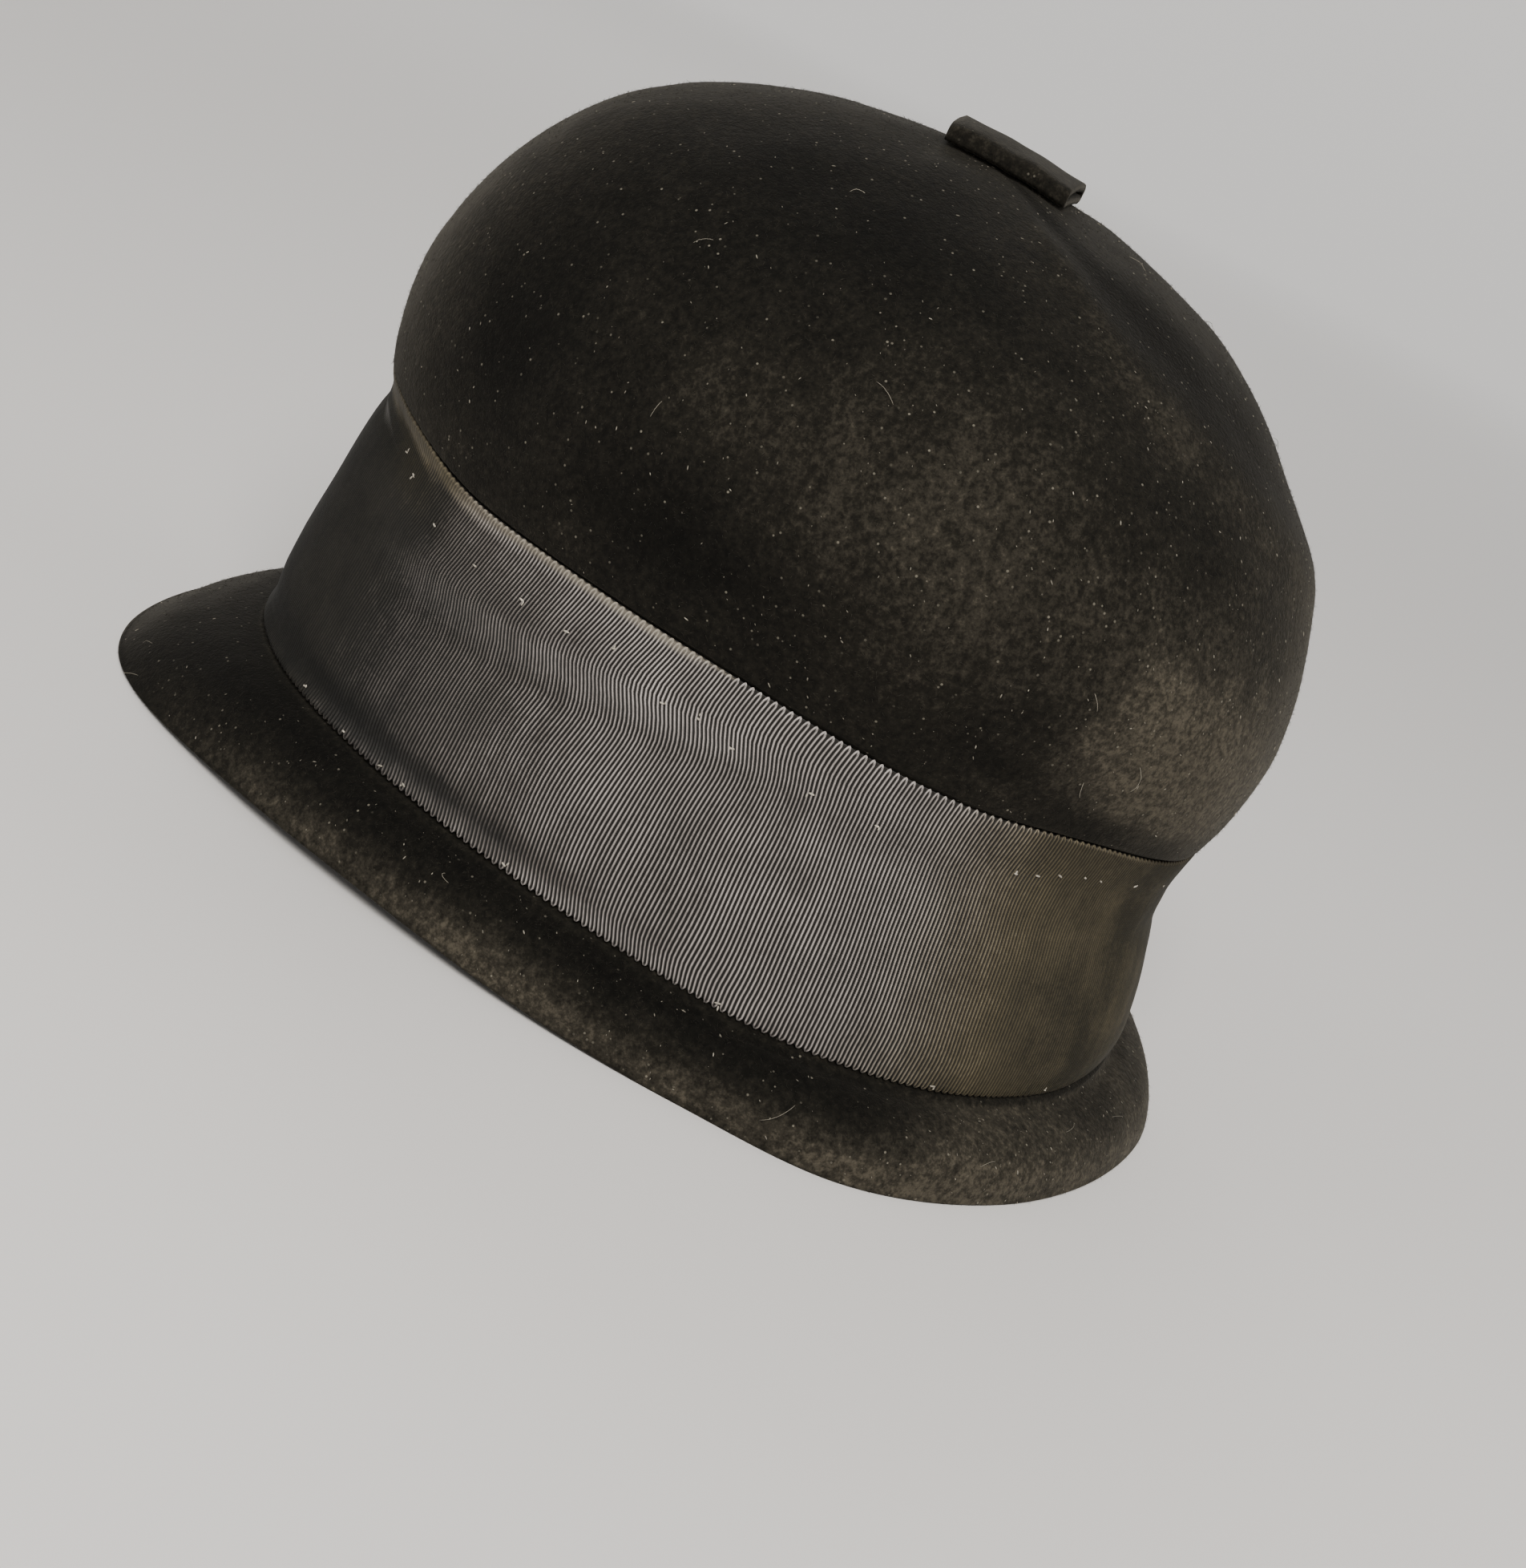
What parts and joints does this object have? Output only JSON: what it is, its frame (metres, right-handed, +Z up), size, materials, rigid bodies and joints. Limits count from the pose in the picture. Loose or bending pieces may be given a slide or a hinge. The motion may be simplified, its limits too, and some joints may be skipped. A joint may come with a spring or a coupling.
{
  "type": "cloche hat",
  "caption": "Soft felt cloche hat with a deep rounded crown, a wide ribbed ribbon band, a narrow turned-down brim and a small felt tab on top.",
  "frame": {"origin": "centre of the hat's length and width, at the level of the brim edge that it rests on", "axes": "+Z up through the crown, -Y towards the front of the brim, +X towards the wearer's left"},
  "size_m": [0.2028, 0.25, 0.1737],
  "materials": {
    "felt": "matt velour nap",
    "ribbon": "ribbed grosgrain, low sheen"
  },
  "bodies": {
    "root": {"felt_hood": "felt", "ribbon_band": "ribbon", "crown_tab": "felt"}
  },
  "joints": []
}
